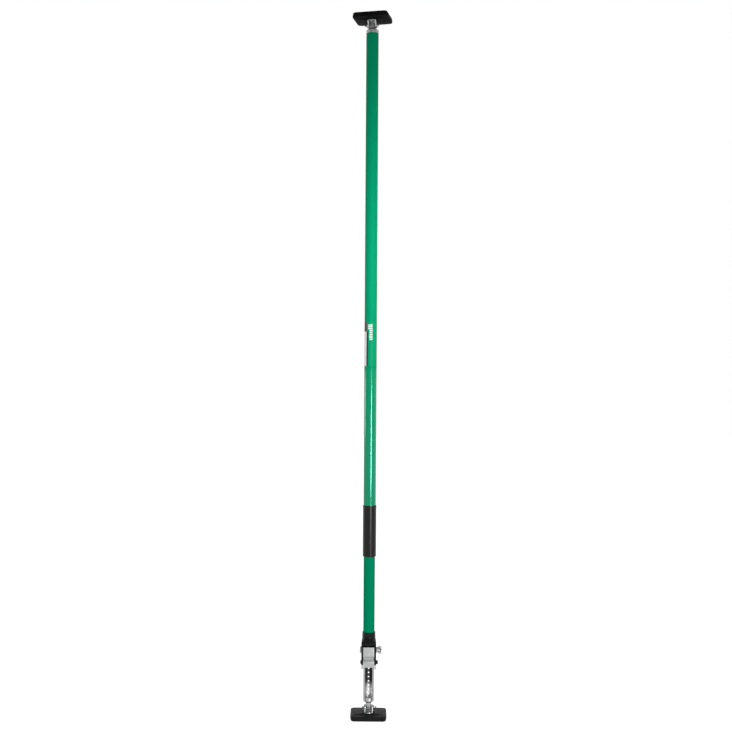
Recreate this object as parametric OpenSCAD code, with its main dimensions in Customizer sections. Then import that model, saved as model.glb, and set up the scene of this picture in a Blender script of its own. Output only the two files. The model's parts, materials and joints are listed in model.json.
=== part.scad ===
// Adjustable steel prop: two telescoping tubes locked by a twist, a tilting
// rubber pad at each end, and a ratchet jack with a lever above the floor pad.
// Origin: centre of the floor pad's face. +Z up, the lever faces -Y.

/* [Overall] */
// Height from the floor face to the ceiling face
total_h = 1996; // [1960:1:2060]
// Turn of the ceiling pad about the prop's axis
head_yaw = -12.5; // [-45:0.5:45]

/* [Tubes] */
// Outside diameter of the upper tube
upper_d = 35; // [34:0.5:36]
// Wall of the upper tube
upper_wall = 1.1; // [1:0.1:1.2]
// Height of the upper tube's lower end
upper_low_z = 462; // [455:1:480]
// Outside diameter of the lower tube
lower_d = 32.2; // [31.8:0.1:32.2]
// Wall of the lower tube
lower_wall = 1; // [0.9:0.1:1]
// Height of the lower tube's lower end, inside the housing
lower_low_z = 214; // [214:1:218]
// Length of the lower tube
lower_len = 1392; // [1200:1:1400]

/* [Grip] */
// Outside diameter of the grip sleeve
grip_d = 38; // [37:0.5:42]
// Length of the grip sleeve
grip_len = 145; // [120:1:180]
// How far the sleeve covers the tube's lower end
grip_lip = 4; // [3:0.5:5]

/* [Label] */
// Height of the label's lower edge
label_z = 999; // [800:1:1300]
// Height of the label
label_h = 125; // [60:1:200]
// Share of the tube's turn that the label covers
label_angle = 230; // [120:5:330]

/* [Pads] */
// Width of a pad, along its pivot
pad_w = 102; // [96:1:110]
// Depth of a pad, across its pivot
pad_d = 84; // [80:1:90]
// Thickness of a pad's edge
pad_t = 14; // [13:0.5:14.5]
// Height of the pivot above the pad's face
pivot_h = 28.5; // [28:0.5:30]
// Sheet of the U bracket
bracket_t = 4; // [3:0.5:4]
// Gap between the bracket's ears
bracket_gap = 17; // [16.5:0.5:18]

/* [Jack] */
// Outside radius of the rack, a round channel open at the front
rack_r = 14.8; // [14.4:0.1:14.8]
// Wall of the rack
rack_wall = 1.8; // [1.5:0.1:2]
// Height of the rack's lower end
rack_low_z = 48; // [46:1:52]
// Length of the rack
rack_len = 226; // [215:1:240]
// Distance from one rack hole to the next
hole_pitch = 12; // [11:0.5:13]
// Radius of a rack hole
hole_r = 2.75; // [2.5:0.25:4]
// Height of the lever's fulcrum
fulcrum_z = 196; // [195.5:0.5:196.5]
// Height of the holding pawl's pin
hold_z = 161; // [160:0.5:162]
// How far both pins lie in front of the tube's axis
pin_y = 15.6; // [15.5:0.1:15.8]

/* [Hidden] */

$fn = 64;
cut = 1;                    // how far a cutter runs past what it cuts

green = "#058a62";
black = "#1c1c1c";
zinc = "#b9bdbd";
dark_steel = "#2b2b2b";
nylon = "#d8d4c4";

upper_r = upper_d / 2;
upper_bore_r = upper_r - upper_wall;
lower_r = lower_d / 2;
lower_bore_r = lower_r - lower_wall;
rack_bore_r = rack_r - rack_wall;
slide_gap = 0.3;            // clearance between sliding round faces
running = 0.08;             // clearance of a pin in its bore

// Pads and their pivots
pad_corner_r = 12;
pad_taper = 3;              // how much smaller the pad's face is, on each side
sole_t = 1.5;
hump_h = 3;
hump_w = 84;
hump_d = 46;
hump_slope = 8;
bracket_w = bracket_gap + 2 * bracket_t;
bracket_d = 40;
ear_r = 7.8;
ear_foot = 26;              // depth of an ear where it leaves the base
pivot_r = 3;
plate_t = 2;
plate_z = 6;
plate_w = 60;
plate_d = 36;
rivet_r = 2.5;
rivet_head_r = 4;
rivet_head_t = 1.4;
rivet_y = 11.5;             // rivets before and behind the pivot
nut_af = 10;                // across flats of the M6 nuts and bolt heads
nut_t = 6;
bolt_tail = 4;
head_t = 2;                 // domed head of a pivot bolt

// Necks between a pad's bracket and its tube
neck_r = 8.2;
neck_end_r = 9;
foot_cone_z = rack_low_z - 5;
head_cone_z = 36.2;
head_rim_z = 51.7;            // from the ceiling face to the upper tube's end
foot_rim_t = 1;
head_rim_t = 8.7;           // plain band between the cone and the tube
foot_spigot = 9;
head_spigot = 30;
upper_top_z = total_h - head_rim_z;

// Rack
rack_top_z = rack_low_z + rack_len;
rack_gap = 20;              // width of the rack's open front
first_hole_z = rack_low_z + 15.2;
hole_count = floor((rack_top_z - 12 - first_hole_z) / hole_pitch) + 1;

// Housing
housing_top_z = 243.5;
housing_low_z = 151;
collar_r = 18.8;
collar_low_z = 229;
hood_z = 210;               // lower edge of the wall above the lever
hood_wall = 3;
cavity_top_z = 212.5;
cheek_x = 21.2;
cheek_gap = 16.35;          // half of the space between the cheeks
housing_back_y = 20;
cheek_front_y = -24;
hood_front_y = -26;
cheek_corner_r = 9;
window_w = 9;
window_h = 22;
window_z = 166;
housing_rivet_z = 232;
housing_rivet_r = 2.4;
rivet_proud = 0.25;         // how far a rivet's end stands out of the collar

// Lever
lever_w = 32;
lever_t = 2;
lever_front_y = -27;
lever_top_z = 206;
lever_low_z = 148;
lever_ear_r = 7.3;
flange_y = -19.8;          // back edge of the lever's flanges
flange_low_z = 150;
bolt_r = 4;
bolt_head_af = 17;
bolt_head_t = 4.4;
washer_t = 1.6;
washer_r = 8;
wing_nut_len = 14;
wing_hub_r = 7.2;
wing_hub_h = 9;
wing_tip = [7.6, 10.2];     // centre of a wing's round tip
wing_tip_r = 3.6;
wing_t = 3.4;

// Pawls: the drive pin swings about the fulcrum by half the lift to each side
lever_lift = 60;
drive_arm = 12.5;
drive_y = -pin_y + drive_arm * cos(lever_lift / 2);
drive_z = fulcrum_z + drive_arm * sin(lever_lift / 2);
drive_pin_r = 2.5;
carrier_t = 2.5;
carrier_gap = 8;
pawl_w = 7.4;
pawl_hub_r = 4.2;
pawl_gap = 0.4;             // least space between a pawl's tip and the rack
hold_tip_y = sqrt(pow(rack_bore_r, 2) - pow(pawl_w / 2, 2)) - pawl_gap;
drive_tip_y = hold_tip_y - drive_arm * (1 - cos(lever_lift / 2));
pawl_tip_h = 3;
drive_drop = 15;            // from the drive pin down to its pawl's tip
hold_drop = 13.5;           // from the holding pin down to its pawl's tip
hold_pin_r = 3;
hold_head_t = 4.7;
hold_nut_t = 2.6;
release_w = 42;
release_low_z = 140.5;
release_web_z = 145.7;
release_top_z = 149.4;
tab_w = 5;                  // width of a release tab
release_t = 1.6;

// Twist lock inside the upper tube
lower_top_z = lower_low_z + lower_len;
plug_len = 26;
plug_flange = 4;
stud_r = 5;
expander_low_z = lower_top_z + plug_flange + 0.5;
expander_len = 40;
expander_r = upper_bore_r - slide_gap;
cone_low_r = 7.6;
cone_top_r = 12;
lock_nut_af = 17;
lock_nut_t = 8;

// ---- helpers ----

module ring(r_out, r_in, z0, z1)
  difference() {
    translate([0, 0, z0]) cylinder(r = r_out, h = z1 - z0);
    translate([0, 0, z0 - cut]) cylinder(r = r_in, h = z1 - z0 + 2 * cut);
  }

// A rod along X from x0 to x1
module rod_x(r, x0, x1, y, z)
  translate([x0, y, z]) rotate([0, 90, 0]) cylinder(r = r, h = x1 - x0);

// A hexagon along X, with its flats up and down
module hex_x(af, x0, x1, y, z)
  translate([x0, y, z]) rotate([0, 90, 0])
    cylinder(r = af / 2 / cos(30), h = x1 - x0, $fn = 6);

// A rectangle centred on the origin with round corners
module round_rect(w, d, r) {
  square([w - 2 * r, d], center = true);
  square([w, d - 2 * r], center = true);
  for (x = [-1, 1], y = [-1, 1])
    translate([x * (w / 2 - r), y * (d / 2 - r)]) circle(r = r);
}

module slab(w, d, r, z0, z1)
  translate([0, 0, z0]) linear_extrude(z1 - z0) round_rect(w, d, r);

// Draws a side profile, given as (y, z), as a plate between x0 and x1
module side_plate(x0, x1)
  translate([x0, 0, 0]) rotate([90, 0, 90]) linear_extrude(x1 - x0) children();

// Puts a pad's assembly upside down under the ceiling
module at_ceiling()
  translate([0, 0, total_h]) rotate([0, 0, head_yaw]) rotate([0, 180, 0]) children();

// A close-wound torsion spring along X about a pin, with two straight legs
function coil_points(turns, r, pitch, legs, steps = 16) = concat(
  [[0, r * cos(legs[0]) + legs[2] * sin(legs[0]), r * sin(legs[0]) - legs[2] * cos(legs[0])]],
  [for (i = [0 : turns * steps])
    let (a = legs[0] + i * 360 / steps) [pitch * i / steps, r * cos(a), r * sin(a)]],
  [let (a = legs[0] + turns * 360)
    [pitch * turns, r * cos(a) - legs[1] * sin(a), r * sin(a) + legs[1] * cos(a)]]
);

module swept_wire(points, r, sides = 6) {
  n = len(points);
  function dir(i) = let (d = points[min(i + 1, n - 1)] - points[max(i - 1, 0)]) d / norm(d);
  function side(i) = let (c = cross(dir(i), [1, 0, 0])) c / norm(c);
  rings = [for (i = [0 : n - 1], k = [0 : sides - 1])
    let (a = k * 360 / sides)
      points[i] + r * cos(a) * side(i) + r * sin(a) * cross(dir(i), side(i))];
  walls = [for (i = [0 : n - 2], k = [0 : sides - 1])
    let (b = i * sides, m = (k + 1) % sides)
      [b + k, b + m, b + sides + m, b + sides + k]];
  start_cap = [[for (k = [0 : sides - 1]) sides - 1 - k]];
  end_cap = [[for (k = [0 : sides - 1]) (n - 1) * sides + k]];
  polyhedron(rings, concat(walls, start_cap, end_cap), convexity = 8);
}

// ---- pad assembly, drawn as it stands on the floor ----

module pad()
  color(black)
    difference() {
      union() {
        slab(pad_w - 2 * pad_taper, pad_d - 2 * pad_taper, pad_corner_r - pad_taper, 0, sole_t);
        hull() {
          slab(pad_w - 2 * pad_taper, pad_d - 2 * pad_taper, pad_corner_r - pad_taper,
               sole_t / 2, sole_t, $fn = 32);
          slab(pad_w, pad_d, pad_corner_r, pad_t / 2, pad_t - 1, $fn = 32);
          slab(pad_w - 2, pad_d - 2, pad_corner_r - 1, pad_t - 1, pad_t, $fn = 32);
        }
        hull() {
          slab(hump_w, hump_d, 10, pad_t - 1, pad_t, $fn = 32);
          slab(hump_w - 2 * hump_slope, hump_d - 2 * hump_slope, 6,
               pad_t, pad_t + hump_h, $fn = 32);
        }
      }
      slab(bracket_w + 0.4, bracket_d + 0.4, 3.2, pad_t, pad_t + hump_h + cut);
      slab(plate_w, plate_d, 4, plate_z, plate_z + plate_t);
      for (y = [-1, 1])
        translate([0, y * rivet_y, plate_z]) cylinder(r = rivet_r, h = pad_t);
    }

module backing_plate()
  color(zinc)
    difference() {
      slab(plate_w, plate_d, 4, plate_z, plate_z + plate_t);
      for (y = [-1, 1])
        translate([0, y * rivet_y, plate_z - cut]) cylinder(r = rivet_r, h = plate_t + 2 * cut);
    }

module ear_profile() {
  translate([0, pivot_h]) circle(r = ear_r);
  polygon([
    [-ear_foot / 2, pad_t], [ear_foot / 2, pad_t],
    [ear_r, pivot_h], [-ear_r, pivot_h]
  ]);
}

module bracket()
  color(zinc)
    difference() {
      union() {
        slab(bracket_w, bracket_d, 3, pad_t, pad_t + bracket_t);
        for (x = [-bracket_w / 2, bracket_gap / 2])
          side_plate(x, x + bracket_t) ear_profile();
      }
      rod_x(pivot_r, -bracket_w, bracket_w, 0, pivot_h);
      for (y = [-1, 1])
        translate([0, y * rivet_y, pad_t - cut])
          cylinder(r = rivet_r, h = bracket_t + 2 * cut);
    }

module rivets()
  color(zinc)
    for (y = [-1, 1])
      translate([0, y * rivet_y, plate_z]) {
        cylinder(r = rivet_r, h = pad_t + bracket_t - plate_z);
        translate([0, 0, pad_t + bracket_t - plate_z])
          cylinder(r1 = rivet_head_r, r2 = rivet_head_r - 1.5, h = rivet_head_t);
      }

module pivot_bolt()
  color(zinc) {
    rod_x(pivot_r, -bracket_w / 2, bracket_w / 2 + nut_t + bolt_tail, 0, pivot_h);
    translate([-bracket_w / 2, 0, pivot_h]) rotate([0, -90, 0])
      cylinder(r1 = nut_af / 2, r2 = nut_af / 2 - 1.5, h = head_t);
  }

module pivot_nut()
  color(zinc)
    difference() {
      union() {
        hex_x(nut_af, bracket_w / 2, bracket_w / 2 + nut_t - 1.5, 0, pivot_h);
        rod_x(nut_af / 2 - 0.4, bracket_w / 2, bracket_w / 2 + nut_t, 0, pivot_h);
      }
      rod_x(pivot_r, 0, bracket_w, 0, pivot_h);
    }

// The neck: a round tongue between the ears, and a cone out to the tube
module neck(cone_z, rim_z, rim_t, rim_r, spigot_r, spigot_len)
  color(zinc)
    difference() {
      union() {
        translate([0, 0, pivot_h]) cylinder(r = neck_r, h = cone_z - pivot_h);
        intersection() {
          translate([0, 0, pivot_h - neck_end_r]) cylinder(r = neck_r, h = neck_end_r + cut);
          rod_x(neck_end_r, -neck_r - cut, neck_r + cut, 0, pivot_h);
        }
        translate([0, 0, cone_z])
          cylinder(r1 = neck_r, r2 = rim_r, h = rim_z - rim_t - cone_z);
        translate([0, 0, rim_z - rim_t]) cylinder(r = rim_r, h = rim_t);
        translate([0, 0, rim_z]) cylinder(r = spigot_r, h = spigot_len);
      }
      rod_x(pivot_r + running, -neck_r - cut, neck_r + cut, 0, pivot_h);
      translate([0, 0, rim_z + 2]) cylinder(r = spigot_r - 2.5, h = spigot_len);
    }

module foot_pad() pad();
module foot_backing_plate() backing_plate();
module foot_bracket() bracket();
module foot_rivets() rivets();
module foot_pivot_bolt() pivot_bolt();
module foot_pivot_nut() pivot_nut();
module foot_neck()
  neck(foot_cone_z, rack_low_z, foot_rim_t, rack_r, rack_bore_r - 0.05, foot_spigot);

module head_pad() at_ceiling() pad();
module head_backing_plate() at_ceiling() backing_plate();
module head_bracket() at_ceiling() bracket();
module head_rivets() at_ceiling() rivets();
module head_pivot_bolt() at_ceiling() pivot_bolt();
module head_pivot_nut() at_ceiling() pivot_nut();
module head_neck()
  at_ceiling()
    neck(head_cone_z, head_rim_z, head_rim_t, upper_r, upper_bore_r - 0.05, head_spigot);

// ---- tubes, grip and label ----

module upper_tube()
  color(green) ring(upper_r, upper_bore_r, upper_low_z, upper_top_z);

module lower_tube()
  color(green)
    difference() {
      ring(lower_r, lower_bore_r, lower_low_z, lower_top_z);
      housing_rivet_holes();
    }

module grip_sleeve() {
  low_z = upper_low_z - grip_lip;
  top_z = low_z + grip_len;
  bead = 0.6;
  round_r = 1.4;
  color(black)
    rotate_extrude()
      difference() {
        union() {
          translate([0, low_z + round_r])
            square([grip_d / 2, grip_len - round_r]);
          translate([0, low_z]) square([grip_d / 2 - round_r, grip_len]);
          translate([grip_d / 2 - round_r, low_z + round_r]) circle(r = round_r);
          translate([0, top_z - 5]) square([grip_d / 2 + bead, 5]);
        }
        translate([-cut, low_z - cut])
          square([lower_r + slide_gap + cut, grip_len + 2 * cut]);
        translate([-cut, upper_low_z]) square([upper_r + cut, grip_len + cut]);
      }
}

module label_film()
  color("white")
    rotate([0, 0, 270 - label_angle / 2 - 30])
      rotate_extrude(angle = label_angle)
        translate([upper_r, label_z]) square([0.12, label_h]);

// ---- rack ----

module rack()
  color(zinc)
    difference() {
      ring(rack_r, rack_bore_r, rack_low_z, rack_top_z);
      translate([-rack_gap / 2, -rack_r - cut, rack_low_z - cut])
        cube([rack_gap, rack_r + cut, rack_len + 2 * cut]);
      for (i = [0 : hole_count - 1])
        translate([0, 0, first_hole_z + i * hole_pitch]) rotate([-90, 0, 0])
          cylinder(r = hole_r, h = rack_r + cut);
    }

// ---- housing ----

module housing_rivet_holes()
  rod_x(housing_rivet_r, -collar_r - cut, collar_r + cut, 0, housing_rivet_z);

// Plan of the cheeks and back wall, with round outer corners at the back
module cheek_plan(front_y, r = 7) {
  depth = housing_back_y - front_y;
  translate([-cheek_x, front_y]) square([2 * cheek_x, depth - r]);
  translate([-cheek_x + r, front_y]) square([2 * (cheek_x - r), depth]);
  for (x = [-1, 1])
    translate([x * (cheek_x - r), housing_back_y - r]) circle(r = r);
}

// Side view of the cheeks: the lower corners are round about the holding pin
module cheek_side() {
  low = housing_low_z;
  r = cheek_corner_r;
  translate([cheek_front_y, low + r]) square([housing_back_y - cheek_front_y, hood_z - low]);
  translate([cheek_front_y + r, low]) square([housing_back_y - cheek_front_y - 2 * r, r + cut]);
  translate([cheek_front_y + r, low + r]) circle(r = r);
  translate([housing_back_y - r, low + r]) circle(r = r);
}

module housing()
  color(black)
    difference() {
      union() {
        translate([0, 0, collar_low_z]) cylinder(r = collar_r, h = housing_top_z - collar_low_z);
        hull() {
          translate([0, 0, collar_low_z]) cylinder(r = collar_r, h = 1, $fn = 32);
          translate([0, 0, hood_z]) linear_extrude(6) cheek_plan(hood_front_y, $fn = 32);
        }
        intersection() {
          translate([0, 0, housing_low_z])
            linear_extrude(hood_z - housing_low_z + 1) cheek_plan(cheek_front_y);
          side_plate(-cheek_x - cut, cheek_x + cut) cheek_side();
        }
      }
      translate([0, 0, lower_low_z]) cylinder(r = lower_r, h = 100);
      translate([0, 0, housing_low_z - cut]) cylinder(r = rack_r + slide_gap, h = 100);
      translate([-cheek_gap, cheek_front_y - 10, housing_low_z - cut])
        cube([2 * cheek_gap, 10 - cheek_front_y - 4, hood_z - housing_low_z + cut]);
      translate([-cheek_gap, hood_front_y + hood_wall, hood_z - cut])
        cube([2 * cheek_gap, -hood_front_y - hood_wall - 4, cavity_top_z - hood_z + cut]);
      rod_x(bolt_r, -cheek_x - cut, cheek_x + cut, -pin_y, fulcrum_z);
      rod_x(hold_pin_r, -cheek_x - cut, cheek_x + cut, -pin_y, hold_z);
      translate([-window_w / 2, 0, window_z]) cube([window_w, housing_back_y + cut, window_h]);
      housing_rivet_holes();
    }

module housing_rivets()
  color(dark_steel)
    for (x = [-1, 1]) {
      end = collar_r + rivet_proud;
      rod_x(housing_rivet_r, x < 0 ? -end : lower_bore_r, x < 0 ? -lower_bore_r : end,
            0, housing_rivet_z);
    }

// ---- lever ----

// Depth of the lever's web at height z: flat above, a hollow for the fingers,
// and a lip that rolls out again at the lower end
function web_y(z) =
  lever_front_y
  + 3.6 * exp(-pow((z - 172.5) / 4.6, 2))
  - 1.2 * exp(-pow((z - 162.5) / 4.5, 2))
  + 1.6 * pow(max(0, (158 - z) / 10), 2);

module lever_web() {
  step = 1.5;
  zs = [for (z = [lever_low_z : step : lever_top_z]) z];
  polygon(concat(
    [for (z = zs) [web_y(z), z]],
    [for (i = [len(zs) - 1 : -1 : 0]) [web_y(zs[i]) + lever_t, zs[i]]]
  ));
}

module lever_flange()
  difference() {
    union() {
      translate([-pin_y, fulcrum_z]) circle(r = lever_ear_r);
      polygon(concat(
        [for (z = [flange_low_z : 1.5 : lever_top_z - 1]) [web_y(z) + lever_t / 2, z]],
        [
          [-pin_y, fulcrum_z + lever_ear_r], [-pin_y, fulcrum_z - lever_ear_r],
          [flange_y, fulcrum_z - 18], [flange_y, flange_low_z + 10]
        ]
      ));
    }
    translate([-pin_y, fulcrum_z]) circle(r = bolt_r + running);
  }

module lever()
  color(zinc) {
    side_plate(-lever_w / 2, lever_w / 2) lever_web();
    for (x = [-lever_w / 2, lever_w / 2 - lever_t])
      side_plate(x, x + lever_t) lever_flange();
  }

module carrier_profile()
  difference() {
    union() {
      translate([-pin_y, fulcrum_z]) circle(r = 6.5);
      translate([drive_y, drive_z]) circle(r = 4);
      polygon([
        [lever_front_y + lever_t, fulcrum_z - 5], [-pin_y, fulcrum_z - 6.5],
        [drive_y + 2, drive_z - 3.5], [drive_y - 1.5, drive_z + 3.6],
        [-pin_y, fulcrum_z + 6.5], [lever_front_y + lever_t, fulcrum_z + 5]
      ]);
    }
    translate([-pin_y, fulcrum_z]) circle(r = bolt_r + running);
    translate([drive_y, drive_z]) circle(r = drive_pin_r);
  }

module pawl_carrier()
  color(zinc) {
    for (x = [-carrier_gap / 2 - carrier_t, carrier_gap / 2])
      side_plate(x, x + carrier_t) carrier_profile();
    half = carrier_gap / 2 + carrier_t;
    translate([-half, lever_front_y + lever_t, fulcrum_z - 5]) cube([2 * half, 2, 10]);
  }

module drive_pin()
  color(zinc) {
    half = carrier_gap / 2 + carrier_t;
    rod_x(drive_pin_r, -half - 0.8, half + 0.8, drive_y, drive_z);
  }

// ---- pawls ----

// A pawl from its pin down to a blunt tip beside the rack's back wall
module pawl_profile(y, z, drop, tip_y)
  polygon([
    [y + 0.3 * pawl_hub_r, z + 0.9 * pawl_hub_r], [tip_y, z - drop + pawl_tip_h],
    [tip_y, z - drop], [y - 0.3 * pawl_hub_r, z - 0.9 * pawl_hub_r]
  ]);

module drive_pawl()
  color(dark_steel)
    difference() {
      union() {
        rod_x(pawl_hub_r, -pawl_w / 2, pawl_w / 2, drive_y, drive_z);
        side_plate(-pawl_w / 2, pawl_w / 2)
          pawl_profile(drive_y, drive_z, drive_drop, drive_tip_y);
      }
      rod_x(drive_pin_r + running, -pawl_w, pawl_w, drive_y, drive_z);
    }

module hold_pawl() {
  hub_half = 5.6;
  color(zinc)
    difference() {
      union() {
        rod_x(pawl_hub_r, -hub_half, hub_half, -pin_y, hold_z);
        side_plate(-pawl_w / 2, pawl_w / 2)
          pawl_profile(-pin_y, hold_z, hold_drop, hold_tip_y);
        translate([-hub_half, -pin_y - 3, release_web_z])
          cube([2 * hub_half, release_t, hold_z - release_web_z]);
        translate([-release_w / 2, -pin_y - 3, release_web_z])
          cube([release_w, release_t, release_top_z - release_web_z]);
        for (x = [-release_w / 2, release_w / 2 - tab_w])
          translate([x, -pin_y - 3, release_low_z])
            cube([tab_w, release_t, release_top_z - release_low_z]);
      }
      rod_x(hold_pin_r + running, -release_w, release_w, -pin_y, hold_z);
    }
}

module hold_pawl_spring()
  color(zinc)
    translate([6.2, -pin_y, hold_z])
      swept_wire(coil_points(3, 3.9, 0.85, [-60, 8, 8]), 0.35);

module drive_pawl_spring()
  color(zinc)
    translate([carrier_gap / 2 + carrier_t + 0.5, drive_y, drive_z])
      swept_wire(coil_points(1, 3.2, 0.8, [-60, 5, 5]), 0.3);

// ---- fulcrum, holding pin ----

module fulcrum_bolt()
  color(zinc) {
    rod_x(bolt_r, -cheek_x, cheek_x + washer_t + wing_nut_len, -pin_y, fulcrum_z);
    hex_x(bolt_head_af, -cheek_x - bolt_head_t, -cheek_x, -pin_y, fulcrum_z);
  }

module fulcrum_washer()
  color(zinc)
    difference() {
      rod_x(washer_r, cheek_x, cheek_x + washer_t, -pin_y, fulcrum_z);
      rod_x(bolt_r + running, 0, 2 * cheek_x, -pin_y, fulcrum_z);
    }

// The wing nut, drawn along +Z from its bearing face
module wing_nut_body() {
  cylinder(r1 = wing_hub_r, r2 = wing_hub_r - 1.6, h = wing_hub_h);
  for (side = [0, 180])
    rotate([0, 0, side]) translate([0, wing_t / 2, 0]) rotate([90, 0, 0]) linear_extrude(wing_t) {
      polygon([
        [3, 1], [wing_tip.x, 1.6], [wing_tip.x + 3.3, 6.5],
        [wing_tip.x + 3, wing_tip.y + 0.8], [wing_tip.x - 3, wing_hub_h]
      ]);
      translate(wing_tip) circle(r = wing_tip_r);
    }
}

module wing_nut()
  color(zinc)
    difference() {
      translate([cheek_x + washer_t, -pin_y, fulcrum_z]) rotate([0, 90, 0]) wing_nut_body();
      rod_x(bolt_r + running, cheek_x, 2 * cheek_x, -pin_y, fulcrum_z);
    }

module hold_pin()
  color(dark_steel) {
    rod_x(hold_pin_r, -cheek_x - hold_nut_t, cheek_x, -pin_y, hold_z);
    hex_x(nut_af, cheek_x, cheek_x + hold_head_t, -pin_y, hold_z);
  }

module hold_pin_nut()
  color(dark_steel)
    difference() {
      hex_x(nut_af, -cheek_x - hold_nut_t, -cheek_x, -pin_y, hold_z);
      rod_x(hold_pin_r, -2 * cheek_x, 0, -pin_y, hold_z);
    }

// ---- twist lock ----

module lock_plug()
  color(nylon)
    difference() {
      union() {
        translate([0, 0, lower_top_z - plug_len]) cylinder(r = lower_bore_r, h = plug_len);
        translate([0, 0, lower_top_z]) cylinder(r = lower_r - 0.1, h = plug_flange);
      }
      translate([0, 0, lower_top_z - plug_len - cut]) cylinder(r = stud_r, h = 2 * plug_len);
    }

module lock_stud()
  color(zinc)
    translate([0, 0, lower_top_z - plug_len])
      cylinder(r = stud_r, h = plug_len + plug_flange + expander_len + 22);

module lock_expander()
  color(nylon)
    difference() {
      translate([0, 0, expander_low_z]) cylinder(r = expander_r, h = expander_len);
      translate([0, 0, expander_low_z - cut]) cylinder(r = cone_low_r, h = expander_len + 2 * cut);
      translate([0, 0, expander_low_z + 12])
        cylinder(r1 = cone_low_r, r2 = cone_top_r, h = expander_len - 12);
      translate([0, -1, expander_low_z - cut])
        cube([expander_r + cut, 2, expander_len + 2 * cut]);
    }

module lock_cone()
  color(zinc)
    difference() {
      union() {
        translate([0, 0, expander_low_z + 12])
          cylinder(r1 = cone_low_r, r2 = cone_top_r, h = expander_len - 12);
        translate([0, 0, expander_low_z + expander_len]) cylinder(r = cone_top_r, h = 5);
      }
      translate([0, 0, expander_low_z]) cylinder(r = stud_r + running, h = 2 * expander_len);
    }

module lock_nut()
  color(zinc)
    difference() {
      translate([0, 0, expander_low_z + expander_len + 7])
        cylinder(r = lock_nut_af / 2 / cos(30), h = lock_nut_t, $fn = 6);
      translate([0, 0, expander_low_z]) cylinder(r = stud_r, h = 2 * expander_len);
    }

// ---- assembly ----

foot_pad();
foot_backing_plate();
foot_bracket();
foot_rivets();
foot_pivot_bolt();
foot_pivot_nut();
foot_neck();
rack();
housing();
housing_rivets();
lever();
pawl_carrier();
drive_pin();
drive_pawl();
drive_pawl_spring();
fulcrum_bolt();
fulcrum_washer();
wing_nut();
hold_pin();
hold_pin_nut();
hold_pawl();
hold_pawl_spring();
lower_tube();
lock_plug();
lock_stud();
lock_expander();
lock_cone();
lock_nut();
grip_sleeve();
upper_tube();
label_film();
head_neck();
head_pad();
head_backing_plate();
head_bracket();
head_rivets();
head_pivot_bolt();
head_pivot_nut();
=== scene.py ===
"""Looks of the adjustable steel prop: green telescoping tubes, a black grip and
jack housing, zinc-plated ironwork and black rubber pads, in a soft white studio."""
import json
import math

import bmesh
import bpy
from mathutils import Matrix, Vector


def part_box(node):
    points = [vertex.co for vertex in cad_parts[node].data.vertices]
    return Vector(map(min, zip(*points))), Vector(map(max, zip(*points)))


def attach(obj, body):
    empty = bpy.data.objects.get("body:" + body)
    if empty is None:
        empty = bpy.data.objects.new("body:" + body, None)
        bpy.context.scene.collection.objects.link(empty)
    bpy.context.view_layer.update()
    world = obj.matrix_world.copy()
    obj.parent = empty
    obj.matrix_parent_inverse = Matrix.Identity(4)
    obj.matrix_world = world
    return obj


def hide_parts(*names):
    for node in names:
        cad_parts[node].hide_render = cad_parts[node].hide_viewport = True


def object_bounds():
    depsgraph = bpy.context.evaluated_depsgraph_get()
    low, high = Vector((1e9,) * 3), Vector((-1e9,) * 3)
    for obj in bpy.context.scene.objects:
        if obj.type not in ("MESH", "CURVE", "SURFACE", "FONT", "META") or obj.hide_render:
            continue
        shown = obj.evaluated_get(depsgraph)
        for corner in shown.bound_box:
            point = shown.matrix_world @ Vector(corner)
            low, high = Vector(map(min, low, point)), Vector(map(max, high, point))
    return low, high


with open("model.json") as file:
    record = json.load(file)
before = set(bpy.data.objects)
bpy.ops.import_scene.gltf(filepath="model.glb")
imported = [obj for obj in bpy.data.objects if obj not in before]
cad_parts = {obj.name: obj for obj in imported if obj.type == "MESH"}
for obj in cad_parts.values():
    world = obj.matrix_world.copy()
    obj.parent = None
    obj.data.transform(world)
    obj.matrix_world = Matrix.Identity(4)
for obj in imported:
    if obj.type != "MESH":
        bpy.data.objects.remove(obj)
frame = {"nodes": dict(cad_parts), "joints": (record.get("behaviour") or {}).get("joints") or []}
cad_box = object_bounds()

# ---- sizes, in millimetres, from the frame where it holds them ----

MM = 0.001
STEPS = 96                      # sides of a large round piece
SMALL_STEPS = 48
BEVEL_ANGLE = math.radians(32)  # edges sharper than this are rounded
SHARP_ANGLE = math.radians(35)  # and what is still sharper than this is shaded crisp


def box_mm(node):
    """Lowest and highest corner of a CAD node, in millimetres."""
    low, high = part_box(node)
    return low / MM, high / MM


joints = {joint["name"]: joint for joint in frame["joints"]}


def pivot_mm(joint):
    """A point on a joint's axis, in millimetres."""
    return Vector(joints[joint]["pos_m"]) / MM


total_h = cad_box[1].z / MM
upper_low, upper_high = box_mm("upper_tube")
upper_r = upper_high.x
upper_wall = 1.1
lower_low, lower_high = box_mm("lower_tube")
lower_r = lower_high.x
lower_wall = 1.0
grip_low, grip_high = box_mm("grip_sleeve")
grip_r = 19.0
pad_low, pad_high = box_mm("foot_pad")
pad_w, pad_d, pad_h = pad_high - pad_low
pad_t = pad_h - 3.0             # thickness of a pad's edge, under its hump
bracket_low, bracket_high = box_mm("foot_bracket")
bracket_w = bracket_high.x - bracket_low.x
bracket_t = 4.0
bracket_d = bracket_high.y - bracket_low.y
pivot_h = pivot_mm("foot_tilt").z
pivot_r = 3.0
neck_r = 8.2
rack_low, rack_high = box_mm("rack")
rack_r = rack_high.x
rack_wall = 1.8
rack_gap = 20.0
hole_r = 2.2
hole_pitch = 12.0
first_hole_z = rack_low.z + 15.2
housing_low, housing_high = box_mm("housing")
cheek_x = housing_high.x
fulcrum = pivot_mm("lever_lift")
fulcrum_r = 4.0
hold = pivot_mm("release_turn")
hold_r = 3.0

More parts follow.
